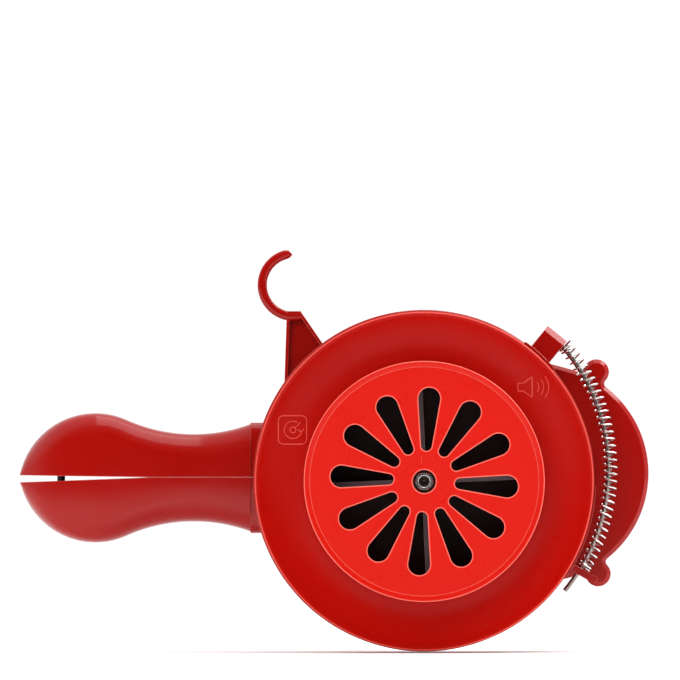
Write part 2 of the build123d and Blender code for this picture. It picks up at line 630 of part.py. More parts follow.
def rod_solid(radius):
    """Curved rod, of flat sides all round."""
    angles = (ROD_START, (ROD_START + ROD_END) / 2, ROD_END)
    points = [polar(ROD_ARC, a, (ARC_X, ARC_Z)) for a in angles]
    path = ThreePointArc(*[(x, SPRING_DEPTH, z) for x, z in points])
    section = Plane(origin=path @ 0, z_dir=path % 0) * RegularPolygon(radius, ROD_SIDES)
    return sweep(section, path=path)


# ---- return spring ----

def wound(turns):
    """Share of the spring's arc covered after this many turns; end coils lie closer."""
    arc = math.radians(SPRING_START - SPRING_END) * COIL_ARC
    open_pitch = (arc - 2 * END_COILS * END_PITCH) / (COILS - 2 * END_COILS)
    closed = min(turns, END_COILS) + max(0.0, turns - (COILS - END_COILS))
    return (closed * END_PITCH + (turns - closed) * open_pitch) / arc


def coil_point(turns):
    """Point of the wire's centre line."""
    angle = SPRING_START + (SPRING_END - SPRING_START) * wound(turns)
    swing = math.radians(360 * turns)
    x, z = polar(COIL_ARC + COIL_RADIUS * math.cos(swing), angle, (ARC_X, ARC_Z))
    return Vector(x, SPRING_DEPTH + COIL_RADIUS * math.sin(swing), z)


def coil_tangent(turns):
    step = 0.01
    return (coil_point(min(COILS, turns + step)) - coil_point(max(0, turns - step))).normalized()


def arc_pair(start, start_way, end, end_way):
    """Two arcs that leave one point and reach the next along the given tangents."""
    chord = end - start
    both = start_way + end_way
    a = 2 * (1 - start_way.dot(end_way))
    b = 2 * chord.dot(both)
    c = -chord.dot(chord)
    reach = (-b + math.sqrt(b * b - 4 * a * c)) / (2 * a)
    first, last = start + start_way * reach, end - end_way * reach
    middle = (first + last) * 0.5
    return [
        Edge.make_tangent_arc(start, start_way, middle),
        Edge.make_tangent_arc(middle, (last - first).normalized(), end),
    ]


def return_spring():
    """One unbroken wire swept along its coils."""
    spans = COILS * SPAN_PARTS
    edges = []
    for n in range(spans):
        a, b = n / SPAN_PARTS, (n + 1) / SPAN_PARTS
        edges += arc_pair(coil_point(a), coil_tangent(a), coil_point(b), coil_tangent(b))
    path = Wire(edges)
    section = Plane(origin=coil_point(0), z_dir=coil_tangent(0)) * RegularPolygon(WIRE_RADIUS, WIRE_SIDES)
    return sweep(section, path=path)


def print_least_gap():
    """Gap between neighbouring coils, measured on points of the wire's centre line."""
    per_turn = 12
    points = [coil_point(n / per_turn) for n in range(COILS * per_turn + 1)]
    least = min(
        (points[i] - points[j]).length
        for i in range(len(points))
        for j in range(i + per_turn // 2, min(len(points), i + 3 * per_turn))
    )
    print(f"least gap of the spring to itself: {least - 2 * WIRE_RADIUS:.2f} mm")


# ---- all nodes ----

def grip_halves():
    """Both shells, with bosses that hold the strap pin across the slit."""
    across = Pos(STRAP_PIN_X, GRIP_MIDDLE_Y, GRIP_AXIS_Z)
    whole = grip_body(0) - grip_body(GRIP_SHELL)
    whole += across * Cylinder(STRAP_PIN_RADIUS + 2.4, 2 * bulb_half(STRAP_PIN_X) - 4)
    whole -= across * Cylinder(STRAP_PIN_RADIUS, STRAP_PIN_LENGTH)
    halves = (whole - slit()).solids().sort_by(Axis.Z)
    return halves[-1], halves[0]


def all_nodes():
    floor = PLATE_REAR + CASE_WALL
    grip_upper, grip_lower = grip_halves()
    return {
        "front_grille": front_grille(),
        "front_housing": front_housing(),
        "rear_plate": rear_plate(),
        "gear_case": gear_case(),
        "gear_cover": gear_cover(),
        "grip_upper": grip_upper,
        "grip_lower": grip_lower,
        "strap_pin": strap_pin(),
        "hook_bracket": hook_bracket(),
        "bearing_front": bearing(BOSS_FRONT),
        "bearing_rear": bearing(PLATE_REAR - BEARING_WIDTH),
        "axle_bush_front": bush(AXLE_RADIUS, floor - 1, floor + 7, CRANK),
        "axle_bush_rear": bush(AXLE_RADIUS, CASE_REAR - 2.5, COVER_REAR + 3, CRANK, flange=1.5),
        "idler_bush_front": bush(SHAFT_RADIUS, floor - 2, floor + 2, IDLER),
        "idler_bush_rear": bush(SHAFT_RADIUS, CASE_REAR - 3, CASE_REAR + 1, IDLER),
        "return_spring": return_spring(),
        "rotor": rotor(),
        "rotor_back": rotor_back(),
        "rotor_hub": rotor_hub(),
        **{f"rotor_vane_{n + 1}": rotor_vane(n) for n in range(VANE_COUNT)},
        "rotor_shaft": rotor_shaft(),
        "rotor_nut": hex_nut(NUT_FLATS, NUT_BORE, NUT_REAR - NUT_THICK, NUT_REAR),
        "rotor_washer": tube(5.0, NUT_BORE, NUT_REAR, NUT_REAR + 1),
        "rotor_pinion": rotor_pinion(),
        "shaft_clip": tube(4.6, SHAFT_RADIUS, SECOND_REAR, SECOND_REAR + 0.8),
        "idler_shaft": disc(SHAFT_RADIUS, floor - 1.6, CASE_REAR + 0.6, IDLER),
        "idler_gear": idler_gear(),
        "idler_pinion": idler_pinion(),
        "crank_axle": crank_axle(),
        "main_gear": main_gear(),
        "gear_key": gear_key(),
        "crank_arm": crank_arm(),
        "axle_washer": tube(7.0, 3.0, ARM_REAR, ARM_REAR + 1.2, CRANK),
        "crank_nut": hex_nut(10.0, 3.0, ARM_REAR + 1.2, ARM_REAR + 6.2, CRANK),
        "knob_bolt": knob_bolt(),
        "crank_knob": crank_knob(),
        "shutter_ring": shutter_ring(),
        "shutter_lever": shutter_lever(),
        "lever_rod": rod_solid(ROD_RADIUS),
    }


def main():
    os.makedirs("parts", exist_ok=True)
    print_least_gap()
    for name, shape in all_nodes().items():
        export_step(shape, f"parts/{name}.step")


main()
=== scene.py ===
import json
import math

import bpy
from mathutils import Matrix, Vector


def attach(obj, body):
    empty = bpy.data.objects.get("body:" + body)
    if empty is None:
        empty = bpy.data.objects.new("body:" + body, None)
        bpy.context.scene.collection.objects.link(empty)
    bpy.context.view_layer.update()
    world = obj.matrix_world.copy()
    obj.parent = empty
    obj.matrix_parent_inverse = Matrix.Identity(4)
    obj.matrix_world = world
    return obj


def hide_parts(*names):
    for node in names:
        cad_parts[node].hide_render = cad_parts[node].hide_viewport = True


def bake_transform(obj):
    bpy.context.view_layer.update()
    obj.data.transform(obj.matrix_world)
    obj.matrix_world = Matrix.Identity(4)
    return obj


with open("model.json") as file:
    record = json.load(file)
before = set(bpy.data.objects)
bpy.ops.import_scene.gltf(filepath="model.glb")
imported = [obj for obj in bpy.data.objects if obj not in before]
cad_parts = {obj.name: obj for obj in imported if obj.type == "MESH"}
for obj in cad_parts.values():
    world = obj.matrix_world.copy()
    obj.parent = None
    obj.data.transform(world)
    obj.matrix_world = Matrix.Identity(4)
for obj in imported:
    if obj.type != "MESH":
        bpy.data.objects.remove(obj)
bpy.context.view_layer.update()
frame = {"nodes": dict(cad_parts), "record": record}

# Sizes are in millimetres, as in the part, and turn into metres when a mesh is made.
# X is right, Y goes from the intake to the crank, Z is up, with the rotor axis at X = Z = 0.
# Outlines are (x, z) points, and lathe profiles are (radius, y) points.
MM = 0.001
FINE = 160                  # steps round a large circle

RIM_RADIUS = 76.4
LIP = (75.0, -4.1)
DISH_START, DISH_MIDDLE = (55.8, 0.0), (68.0, -0.9)
CAP_RADIUS, CAP_FACE, CAP_WALL = 54.2, -18.0, 2.6
LIP_WIDTH = 2.7
HUB_HOLE = 5.45
SLOTS, SLOT_TURN = 12, -3.5
SLOT_ENDS = ((37.3, 5.2), (16.2, 2.7))      # place along the radius, and radius, of each round end
PORTS, PORT_ANGLE, PORT_FRONT, PORT_REAR = 12, 15.0, 9.0, 29.0
DRUM_INNER, DRUM_OUTER, DRUM_REAR = 68.2, 73.2, 47.0
PLATE_REAR = 51.0
LIP_HIGHLIGHT_BEAD, RIM_HIGHLIGHT_BEAD, SLOT_HIGHLIGHT_BEAD = 0.4, 0.33, 0.27     # radii of the thin tubes that carry painted highlight lines along the edges
RELIEF_LINE = 0.27

ARC = (-2.5, 5.0)
COIL_ARC, ROD_ARC, ROD_RADIUS = 86.6, 85.7, 1.05
ROD_START, ROD_END = 43.5, -39.6
SPRING_DEPTH = 38.0
SPRING_START, SPRING_END = 40.35, -30.75
COIL_RADIUS, WIRE_RADIUS, COILS = 3.08, 0.42, 36
END_COILS, END_PITCH = 1.5, 1.32

CRANK, IDLER, KNOB = (52.6, 3.3), (8.5556, 31.8716), (-32.4, 3.3)
COVER_REAR = 82.0
KNOB_FRONT, KNOB_REAR, KNOB_RADIUS, KNOB_RECESS, KNOB_BORE = 98.0, 160.0, 14.0, 7.4, 4.06
FLUTES, FLUTE_DEPTH = 14, 0.9

NUT_FLATS, NUT_FRONT, NUT_REAR = 8.0, -16.5, -12.5
THREAD, THREAD_PITCH = 2.5, 0.8             # radius and pitch of the hub's thread
SHAFT_FRONT, SHAFT_REAR, SHAFT_RADIUS, SHOULDER = -15.6, 64.4, 3.0, -10.5
WASHER_RADIUS, WASHER_REAR = 5.0, -11.5

HOOK, HOOK_INNER, HOOK_OUTER = (-58.8, 88.4), 12.1, 16.3
HOOK_FRONT, HOOK_REAR, HOOK_TIP, HOOK_ROOT = 53.0, 63.0, 92.0, 285.0
HOOK_TAPER, HOOK_ROUND = 14.0, 1.3          # degrees over which the tip rounds off, and edge radius
BRACKET_REAR, RIB_STEP = 65.0, 0.08         # the ribs stand this much behind the hook's face
BRACKET = [(-62.0, 73.5), (-63.0, 43.3), (-61.5, 33.0), (-34.0, 45.0), (-55.7, 76.6), (-61.7, 76.6)]
WEB_FRONT, WEB_REAR, RIB_WALL = 57.0, 60.0, 1.4

GRIP_AXIS_Z, GRIP_MIDDLE_Y = 1.2, 66.0
GRIP_TIP_X, GRIP_ROOT_X, GRIP_END_X = -182.7, -78.3, -42.0
BULB_X, BULB_DROP, BULB_ARC, BULB_REACH = -148.5, 5.66, 34.96, 36.0
NECK_X, NECK_HALF = -104.0, 19.8
BULB_DEPTH, NECK_DEPTH, ROOT_DEPTH, ROOT_HALF = 20.0, 16.0, 15.0, 25.0
GRIP_ROUND, ROOT_ROUND, PARTING = 11.0, 5.0, 0.06       # PARTING is half the gap between the two shells
SLIT_TOP, SLIT_BOTTOM, SLIT_ROOT, SLIT_END_X = 2.4, -0.8, 1.5, -124.0


# ---- shapes ----

def polar(radius, angle, centre=(0.0, 0.0)):
    a = math.radians(angle)
    return centre[0] + radius * math.cos(a), centre[1] + radius * math.sin(a)


def arc(radius, start, end, centre=(0.0, 0.0), step=4.0):
    """Points of an arc, both ends included."""
    count = max(2, round(abs(end - start) / step))
    return [polar(radius, start + (end - start) * n / count, centre) for n in range(count + 1)]


def circle(radius, centre=(0.0, 0.0), step=4.0):
    return arc(radius, 0, 360, centre, step)[:-1]


def three_point_arc(a, b, c, steps):
    """Points of the arc from a through b to c."""
    ax, ay, bx, by, cx, cy = *a, *b, *c
    d = 2 * (ax * (by - cy) + bx * (cy - ay) + cx * (ay - by))
    aa, bb, cc = ax * ax + ay * ay, bx * bx + by * by, cx * cx + cy * cy
    ux = (aa * (by - cy) + bb * (cy - ay) + cc * (ay - by)) / d
    uy = (aa * (cx - bx) + bb * (ax - cx) + cc * (bx - ax)) / d
    radius = math.hypot(ax - ux, ay - uy)
    start, end = math.atan2(ay - uy, ax - ux), math.atan2(cy - uy, cx - ux)
    turn = (end - start + math.pi) % (2 * math.pi) - math.pi
    angles = [start + turn * n / steps for n in range(steps + 1)]
    return [(ux + radius * math.cos(t), uy + radius * math.sin(t)) for t in angles]


def rounded(corners, steps=4):
    """Closed outline through (x, y, radius) corners, each rounded by its radius."""
    points = []
    count = len(corners)
    for i, (x, y, radius) in enumerate(corners):
        here = Vector((x, y))
        before = Vector(corners[i - 1][:2]) - here
        after = Vector(corners[(i + 1) % count][:2]) - here
        if radius <= 0:
            points.append((x, y))
            continue
        half = before.angle(after) / 2
        reach = min(radius / math.tan(half), before.length * 0.49, after.length * 0.49)
        radius = reach * math.tan(half)
        centre = here + (before.normalized() + after.normalized()).normalized() * radius / math.sin(half)
        start, end = here + before.normalized() * reach - centre, here + after.normalized() * reach - centre
        sweep = start.angle_signed(end)
        for n in range(steps + 1):
            turned = start.copy()
            turned.rotate(Matrix.Rotation(-sweep * n / steps, 2))
            points.append(tuple(centre + turned))
    return points


def inset(corners, distance):
    """Polygon with every side moved inwards."""
    sides = list(zip(corners, corners[1:] + corners[:1]))
    sign = 1 if sum(a[0] * b[1] - b[0] * a[1] for a, b in sides) > 0 else -1
    lines = []
    for a, b in sides:
        length = math.hypot(b[0] - a[0], b[1] - a[1])
        normal = (-sign * (b[1] - a[1]) / length, sign * (b[0] - a[0]) / length)
        lines.append((normal, normal[0] * a[0] + normal[1] * a[1] + distance))
    points = []
    for (n0, d0), (n1, d1) in zip([lines[-1]] + lines[:-1], lines):
        det = n0[0] * n1[1] - n0[1] * n1[0]
        points.append(((d0 * n1[1] - d1 * n0[1]) / det, (n0[0] * d1 - n1[0] * d0) / det))
    return points


# ---- meshes ----

def piece(name, data, material, body, nodes=(), angle=35.0):
    """Object made of vertex and face lists, which stands for the named CAD nodes."""
    mesh = mesh_of(name, *data)
    for face in mesh.polygons:
        face.use_smooth = True
    mesh.set_sharp_from_angle(angle=math.radians(angle))
    mesh.materials.append(material)
    obj = bpy.data.objects.new(name, mesh)
    bpy.context.scene.collection.objects.link(obj)
    if body:
        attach(obj, body)
    if nodes:
        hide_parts(*nodes)
    return obj


def mesh_of(name, vertices, faces):
    mesh = bpy.data.meshes.new(name)
    mesh.from_pydata([tuple(c * MM for c in v) for v in vertices], [], faces)
    mesh.update()
    return mesh


def ring_faces(rings, count, closed=False):
    """Quads that join each ring of points to the next, and the last to the first if closed."""
    faces = []
    for n in range(rings if closed else rings - 1):
        a, b = n * count, (n + 1) % rings * count
        faces += [(a + i, a + (i + 1) % count, b + (i + 1) % count, b + i) for i in range(count)]
    return faces


def end_faces(rings, count):
    """Flat faces over the first and the last ring."""
    last = (rings - 1) * count
    return [tuple(range(count))[::-1], tuple(range(last, last + count))]


def lathe_data(profile, steps=FINE, at=(0.0, 0.0)):
    """Closed profile turned about a Y axis."""
    vertices = []
    for n in range(steps):
        x, z = polar(1.0, 360 * n / steps)
        vertices += [(at[0] + r * x, y, at[1] + r * z) for r, y in profile]
    return vertices, ring_faces(steps, len(profile), closed=True)


def plate_data(loops, front, rear):
    """Flat plate with holes between two depths: the first loop is its outside."""
    curve = bpy.data.curves.new("outline", "CURVE")
    curve.dimensions, curve.fill_mode = "2D", "BOTH"
    curve.extrude = (rear - front) / 2
    for loop in loops:
        spline = curve.splines.new("POLY")
        spline.points.add(len(loop) - 1)
        for point, (x, z) in zip(spline.points, loop):
            point.co = (x, z, 0, 1)
        spline.use_cyclic_u = True
    holder = bpy.data.objects.new("outline", curve)
    bpy.context.scene.collection.objects.link(holder)
    flat = bpy.data.meshes.new_from_object(holder.evaluated_get(bpy.context.evaluated_depsgraph_get()))
    middle = (front + rear) / 2
    vertices = [(v.co.x, middle - v.co.z, v.co.y) for v in flat.vertices]
    faces = [tuple(face.vertices) for face in flat.polygons]
    bpy.data.objects.remove(holder)
    bpy.data.curves.remove(curve)
    bpy.data.meshes.remove(flat)
    return vertices, faces


def band_data(inner, outer, front, rear, holes, hole_front, hole_rear, hole_angle):
    """Round wall with a row of square windows."""
    cell = 360 / holes
    inside, outside = 6, 6      # columns of faces over a window, and between two
    angles = []
    for n in range(holes):
        start = n * cell - hole_angle / 2
        angles += [start + hole_angle * k / inside for k in range(inside)]
        angles += [start + hole_angle + (cell - hole_angle) * k / outside for k in range(outside)]
    depths = [front, hole_front, hole_rear, rear]
    rows, columns = len(depths), len(angles)
    vertices = [(*polar(r, a), y) for r in (outer, inner) for y in depths for a in angles]
    vertices = [(x, y, z) for x, z, y in vertices]
    layer = rows * columns
    faces = []
    for row in range(rows - 1):
        for col in range(columns):
            if row == 1 and col % (inside + outside) < inside:
                continue
            a, b = row * columns + col, row * columns + (col + 1) % columns
            faces.append((a, b, b + columns, a + columns))
            faces.append((a + layer, a + columns + layer, b + columns + layer, b + layer))
    for col in range(columns):
        nxt = (col + 1) % columns
        last = (rows - 1) * columns
        faces.append((col, col + layer, nxt + layer, nxt))
        faces.append((last + col, last + nxt, last + nxt + layer, last + col + layer))
        if col % (inside + outside) < inside:
            a, b = columns + col, columns + nxt
            faces.append((a, b, b + layer, a + layer))
            a, b = 2 * columns + col, 2 * columns + nxt
            faces.append((a, a + layer, b + layer, b))
    for n in range(holes):
        for edge, flip in ((n * (inside + outside), False), (n * (inside + outside) + inside, True)):
            a, b = columns + edge, 2 * columns + edge
            quad = (a, a + layer, b + layer, b)
            faces.append(quad[::-1] if flip else quad)
    return vertices, faces


def tube_data(path, radius, sides=12):
    """Round bar along a list of points, with flat ends."""
    points = [Vector(p) for p in path]
    vertices = []
    side = None
    for i, point in enumerate(points):
        ahead = points[min(i + 1, len(points) - 1)] - points[max(i - 1, 0)]
        ahead.normalize()
        if side is None:
            side = ahead.orthogonal().normalized()
        side = (side - ahead * side.dot(ahead)).normalized()
        other = ahead.cross(side)
        for n in range(sides):
            t = 2 * math.pi * n / sides
            vertices.append(tuple(point + (side * math.cos(t) + other * math.sin(t)) * radius))
    return vertices, ring_faces(len(points), sides) + end_faces(len(points), sides)


def bead(loop, radius):
    """Closed round line through a loop of points."""
    return tube_data(loop + loop[:1], radius, 8)


def merged(*parts):
    vertices, faces = [], []
    for part_vertices, part_faces in parts:
        start = len(vertices)
        vertices += part_vertices
        faces += [tuple(i + start for i in face) for face in part_faces]
    return vertices, faces


# ---- materials ----

def base_material(name, colour, roughness, metallic=0.0, specular=0.5):
    material = bpy.data.materials.new(name)
    material.use_nodes = True
    shader = material.node_tree.nodes["Principled BSDF"]
    shader.inputs["Base Color"].default_value = (*colour, 1)
    shader.inputs["Roughness"].default_value = roughness
    shader.inputs["Metallic"].default_value = metallic
    shader.inputs["Specular IOR Level"].default_value = specular
    return material, material.node_tree, shader


def noise(tree, scale, detail=3.0, stretch=(1, 1, 1)):
    """Noise over the piece's own coordinates, with this many cells per metre."""
    place = tree.nodes.new("ShaderNodeTexCoord")
    mapping = tree.nodes.new("ShaderNodeMapping")
    mapping.inputs["Scale"].default_value = stretch
    texture = tree.nodes.new("ShaderNodeTexNoise")
    texture.inputs["Scale"].default_value = scale
    texture.inputs["Detail"].default_value = detail
    tree.links.new(place.outputs["Object"], mapping.inputs["Vector"])
    tree.links.new(mapping.outputs["Vector"], texture.inputs["Vector"])
    return texture.outputs["Fac"]


def ramp(tree, value, low, high, start=0.3, end=0.7):
    """Colour ramp between two colours or grey levels."""
    node = tree.nodes.new("ShaderNodeValToRGB")
    for element, place, tone in zip(node.color_ramp.elements, (start, end), (low, high)):
        element.position = place
        element.color = (*tone, 1) if isinstance(tone, tuple) else (tone, tone, tone, 1)
    tree.links.new(value, node.inputs["Fac"])
    return node.outputs["Color"]


def bump(tree, shader, height, strength, depth, normal=None):
    node = tree.nodes.new("ShaderNodeBump")
    node.inputs["Strength"].default_value = strength
    node.inputs["Distance"].default_value = depth
    tree.links.new(height, node.inputs["Height"])
    if normal:
        tree.links.new(normal, node.inputs["Normal"])
    tree.links.new(node.outputs["Normal"], shader.inputs["Normal"])


def rounded_edges(tree, radius):
    """Normal that rounds sharp edges, and a mask that is 1 along them, which places a painted highlight
    colour.
    """
    soft = tree.nodes.new("ShaderNodeBevel")
    soft.samples = 6
    soft.inputs["Radius"].default_value = radius * MM
    geometry = tree.nodes.new("ShaderNodeNewGeometry")
    dot = tree.nodes.new("ShaderNodeVectorMath")
    dot.operation = "DOT_PRODUCT"
    tree.links.new(soft.outputs["Normal"], dot.inputs[0])
    tree.links.new(geometry.outputs["Normal"], dot.inputs[1])
    return soft.outputs["Normal"], ramp(tree, dot.outputs["Value"], 1.0, 0.0, 0.80, 0.985)


def moulded_plastic(name, colour, roughness, specular=0.4, grain=0.05, edge=None, edge_width=0.5):
    """Injection-moulded plastic: faint flow marks, uneven gloss, a fine grain and a painted highlight colour
    along the edges.
    """
    material, tree, shader = base_material(name, colour, roughness, specular=specular)
    darker = tuple(c * 0.94 for c in colour)
    lighter = tuple(min(1.0, c * 1.04) for c in colour)
    tone = ramp(tree, noise(tree, 12, 5, (1, 1, 0.5)), darker, lighter, 0.0, 1.0)
    gloss = noise(tree, 90, 5)
    tree.links.new(ramp(tree, gloss, roughness * 0.85, roughness * 1.2), shader.inputs["Roughness"])
    normal = None
    if edge:
        # edge is a painted highlight colour, mixed into the base colour along sharp edges by the mask
        normal, highlight_mask = rounded_edges(tree, edge_width)
        mix = tree.nodes.new("ShaderNodeMix")
        mix.data_type = "RGBA"
        tree.links.new(highlight_mask, mix.inputs["Factor"])
        tree.links.new(tone, mix.inputs["A"])
        mix.inputs["B"].default_value = (*edge, 1)
        tone = mix.outputs["Result"]
    tree.links.new(tone, shader.inputs["Base Color"])
    bump(tree, shader, noise(tree, 1400, 2), grain, 0.00012, normal)
    return material


def drawn_metal(name, colour, roughness, grain=0.1):
    """Metal with fine marks and slightly uneven polish."""
    material, tree, shader = base_material(name, colour, roughness, metallic=1.0)
    shade = tuple(c * 0.8 for c in colour)
    tree.links.new(ramp(tree, noise(tree, 260, 4), shade, colour), shader.inputs["Base Color"])
    marks = noise(tree, 900, 3)
    tree.links.new(ramp(tree, marks, roughness * 0.7, roughness * 1.4), shader.inputs["Roughness"])
    bump(tree, shader, marks, grain, 0.00008)
    return material


# The edge colours given to the materials below are painted highlights along the edges.
CAP_EDGE_HIGHLIGHT, SHELL_EDGE_HIGHLIGHT = (0.95, 0.17, 0.12), (0.72, 0.085, 0.06)
CAP_RED = moulded_plastic("cap_red", (0.60, 0.006, 0.001), 0.3, 0.2, edge=CAP_EDGE_HIGHLIGHT, edge_width=0.55)
FLANGE_RED = moulded_plastic("flange_red", (0.42, 0.003, 0.0005), 0.3, 0.12, edge=SHELL_EDGE_HIGHLIGHT, edge_width=0.6)
SHELL_RED = moulded_plastic("shell_red", (0.34, 0.0025, 0.0005), 0.10, 0.3, edge=SHELL_EDGE_HIGHLIGHT, edge_width=0.6)
# The next material colours the raised signs and mould mark, and also the painted highlight line round the
# flange's rim; the one after colours only painted highlight lines.
RELIEF_AND_HIGHLIGHT_RED = moulded_plastic("relief_and_highlight_red", (0.72, 0.07, 0.05), 0.3)
HIGHLIGHT_RED = moulded_plastic("highlight_red", (0.90, 0.14, 0.10), 0.3)
BLACK = moulded_plastic("black_plastic", (0.012, 0.010, 0.010), 0.42, grain=0.2, edge=(0.03, 0.028, 0.028))
ROTOR_BLACK = moulded_plastic("rotor_black", (0.022, 0.0015, 0.003), 0.4, 0.2, edge=(0.10, 0.07, 0.075))
# The vanes are the rotor's black plastic painted lighter, a painted highlight for their lit front edges, with
# a paler painted edge highlight.
VANE_LIT_GREY = moulded_plastic("vane_lit_grey", (0.16, 0.11, 0.12), 0.4, edge=(0.5, 0.42, 0.42))
NYLON = moulded_plastic("nylon", (0.72, 0.70, 0.63), 0.4)
STEEL = drawn_metal("bright_steel", (0.86, 0.85, 0.83), 0.16)
POLISHED = drawn_metal("polished_steel", (0.90, 0.89, 0.88), 0.07, grain=0.03)
ROD_STEEL = drawn_metal("rod_steel", (0.30, 0.25, 0.23), 0.2)
# Real black steel for the black_steel nodes, also used as painted shade on the washer and on the shaft inside
# the nut.
DARK_STEEL_AND_SHADE = drawn_metal("dark_steel_and_shade", (0.05, 0.035, 0.032), 0.35)
BRONZE = drawn_metal("bronze", (0.45, 0.30, 0.15), 0.35)


# ---- front ----

def slot_loop(angle):
    """Petal slot: two round ends and their common tangents."""
    (far, wide), (near, narrow) = SLOT_ENDS
    lean = math.degrees(math.asin((wide - narrow) / (far - near)))
    loop = arc(wide, -90 - lean, 90 + lean, (far, 0), 5) + arc(narrow, 90 + lean, 270 - lean, (near, 0), 9)
    c, s = polar(1.0, angle)
    return [(x * c - z * s, x * s + z * c) for x, z in loop]


def make_cap():
    edge = CAP_RADIUS - LIP_WIDTH
    inside = CAP_FACE + CAP_WALL
    slots = [slot_loop(90 + SLOT_TURN + n * 360 / SLOTS) for n in range(SLOTS)]
    face = plate_data([circle(edge, step=2), circle(HUB_HOLE, step=6), *slots], CAP_FACE, inside)
    lip = arc(1.0, -90, 0, (CAP_RADIUS - 1.0, CAP_FACE + 0.4), 15)
    rim = lathe_data([(edge, CAP_FACE), (edge + 0.9, CAP_FACE - 0.25), *lip, (CAP_RADIUS, 0.0),
                      (CAP_RADIUS - CAP_WALL, 0.0), (CAP_RADIUS - CAP_WALL, inside), (edge, inside)])
    collar = lathe_data([
        (HUB_HOLE + 0.05, CAP_FACE + 0.6), (HUB_HOLE + 2.4, CAP_FACE + 0.6), (HUB_HOLE + 2.4, CAP_FACE + 5),
        (HUB_HOLE + 0.05, CAP_FACE + 5),
    ], 48)
    piece("cap", face, CAP_RED, "housing", ["front_grille"])
    piece("cap_rim", rim, CAP_RED, "housing", ["front_grille"])
    piece("cap_collar", collar, CAP_RED, "housing", ["front_grille"])
    rings = slots + [circle(HUB_HOLE)]
    # Thin pale lines round the slots, the hub hole and the cap's lip are painted highlights.
    slot_highlight_beads = [bead([(x, CAP_FACE + 0.05, z) for x, z in loop], SLOT_HIGHLIGHT_BEAD) for loop in rings]
    piece("slot_highlights", merged(*slot_highlight_beads), HIGHLIGHT_RED, "housing", angle=60)
    lip_highlight = bead([(x, CAP_FACE - 0.05, z) for x, z in circle(CAP_RADIUS - 0.45, step=3)], LIP_HIGHLIGHT_BEAD)
    piece("cap_lip_highlight", lip_highlight, HIGHLIGHT_RED, "housing", angle=60)


def make_housing():
    dish = three_point_arc(DISH_START, DISH_MIDDLE, LIP, 24)
    flange = lathe_data(dish + [(RIM_RADIUS - 0.3, LIP[1]), (RIM_RADIUS, LIP[1] + 0.3), (RIM_RADIUS, 3.0),
                                (DRUM_INNER, 3.0), (46.0, 3.0), (46.0, 0.0)])
    drum = band_data(DRUM_INNER, DRUM_OUTER, 2.5, DRUM_REAR, PORTS, PORT_FRONT, PORT_REAR, PORT_ANGLE)
    piece("flange", flange, FLANGE_RED, "housing", ["front_housing"])
    piece("drum", drum, FLANGE_RED, "housing", ["front_housing"])
    # Thin pale line round the flange's rim is a painted highlight.
    rim_highlight = bead([(x, LIP[1] + 0.1, z) for x, z in circle(RIM_RADIUS - 0.5, step=3)], RIM_HIGHLIGHT_BEAD)
    piece("flange_rim_highlight", rim_highlight, RELIEF_AND_HIGHLIGHT_RED, "housing", angle=60)


def dish_depth(radius):
    """Depth of the flange's front face at this distance from the axis."""
    curve = three_point_arc(DISH_START, DISH_MIDDLE, LIP, 24)
    if radius <= curve[0][0]:
        return 0.0
    for (r0, y0), (r1, y1) in zip(curve, curve[1:]):
        if radius <= r1:
            return y0 + (y1 - y0) * (radius - r0) / (r1 - r0)
    return curve[-1][1]


def relief_line(points, centre, closed=False):
    """Thin raised line that follows the flange's face."""
    points = points + points[:1] if closed else points
    path = []
    for (x0, z0), (x1, z1) in zip(points, points[1:]):
        count = max(1, round(math.hypot(x1 - x0, z1 - z0) / 0.5))
        path += [(x0 + (x1 - x0) * n / count, z0 + (z1 - z0) * n / count) for n in range(count)]
    path.append(points[-1])
    spots = [(centre[0] + x, centre[1] + z) for x, z in path]
    return tube_data([(x, dish_depth(math.hypot(x, z)) - 0.02, z) for x, z in spots], RELIEF_LINE, 6)


def make_signs():
    """Two plain signs in relief: a turning handle on the left, sound waves on the right."""
    left, right = (-59.0, 23.1), (49.2, 42.4)
    frame_line = rounded([(-6.6, -6.4, 2.2), (6.2, -6.4, 2.2), (6.2, 6.4, 2.2), (-6.6, 6.4, 2.2)])
    handle = [
        relief_line(frame_line, left, closed=True),
        relief_line(arc(3.9, 60, 345), left), relief_line([(5.0, 0.6), (3.8, -1.0), (2.2, 0.2)], left),
        relief_line(circle(1.3, step=20), left, closed=True), relief_line([(0.9, 0.9), (3.4, 3.4)], left),
    ]
    horn = [(-7.0, -1.8), (-4.6, -1.8), (-0.6, -4.6), (-0.6, 4.6), (-4.6, 1.8), (-7.0, 1.8)]
    waves = [relief_line(arc(r, -38, 38, (-1.0, 0)), right) for r in (3.4, 5.6, 7.8)]
    piece("sign_left", merged(*handle), RELIEF_AND_HIGHLIGHT_RED, "housing", angle=60)
    piece("sign_right", merged(relief_line(horn, right, closed=True), *waves), RELIEF_AND_HIGHLIGHT_RED, "housing", angle=60)


def make_mould_mark():
    line = tube_data([(-1.2, CAP_FACE - 0.02, z) for z in (7.8, 9.6, 11.4)], 0.13, 6)
    piece("mould_mark", line, RELIEF_AND_HIGHLIGHT_RED, "housing", angle=60)


# ---- rotor and its nut ----

def make_shaft():
    """Shaft whose threaded end stands back in the nut and has a countersunk centre hole; its dark colour is
    painted shade inside the nut's bore.
    """
    end = SHAFT_FRONT
    thread = []
    for n in range(6):
        thread += [(THREAD, end + 0.55 + THREAD_PITCH * n), (THREAD - 0.35, end + 0.95 + THREAD_PITCH * n)]
    profile = [(0.02, end + 1.4), (0.9, end + 1.2), (1.5, end), (2.1, end), *thread, (THREAD, SHOULDER),
               (SHAFT_RADIUS, SHOULDER), (SHAFT_RADIUS, SHAFT_REAR), (0.02, SHAFT_REAR)]
    piece("shaft", lathe_data(profile, 40), DARK_STEEL_AND_SHADE, "rotor", ["rotor_shaft"], angle=30)


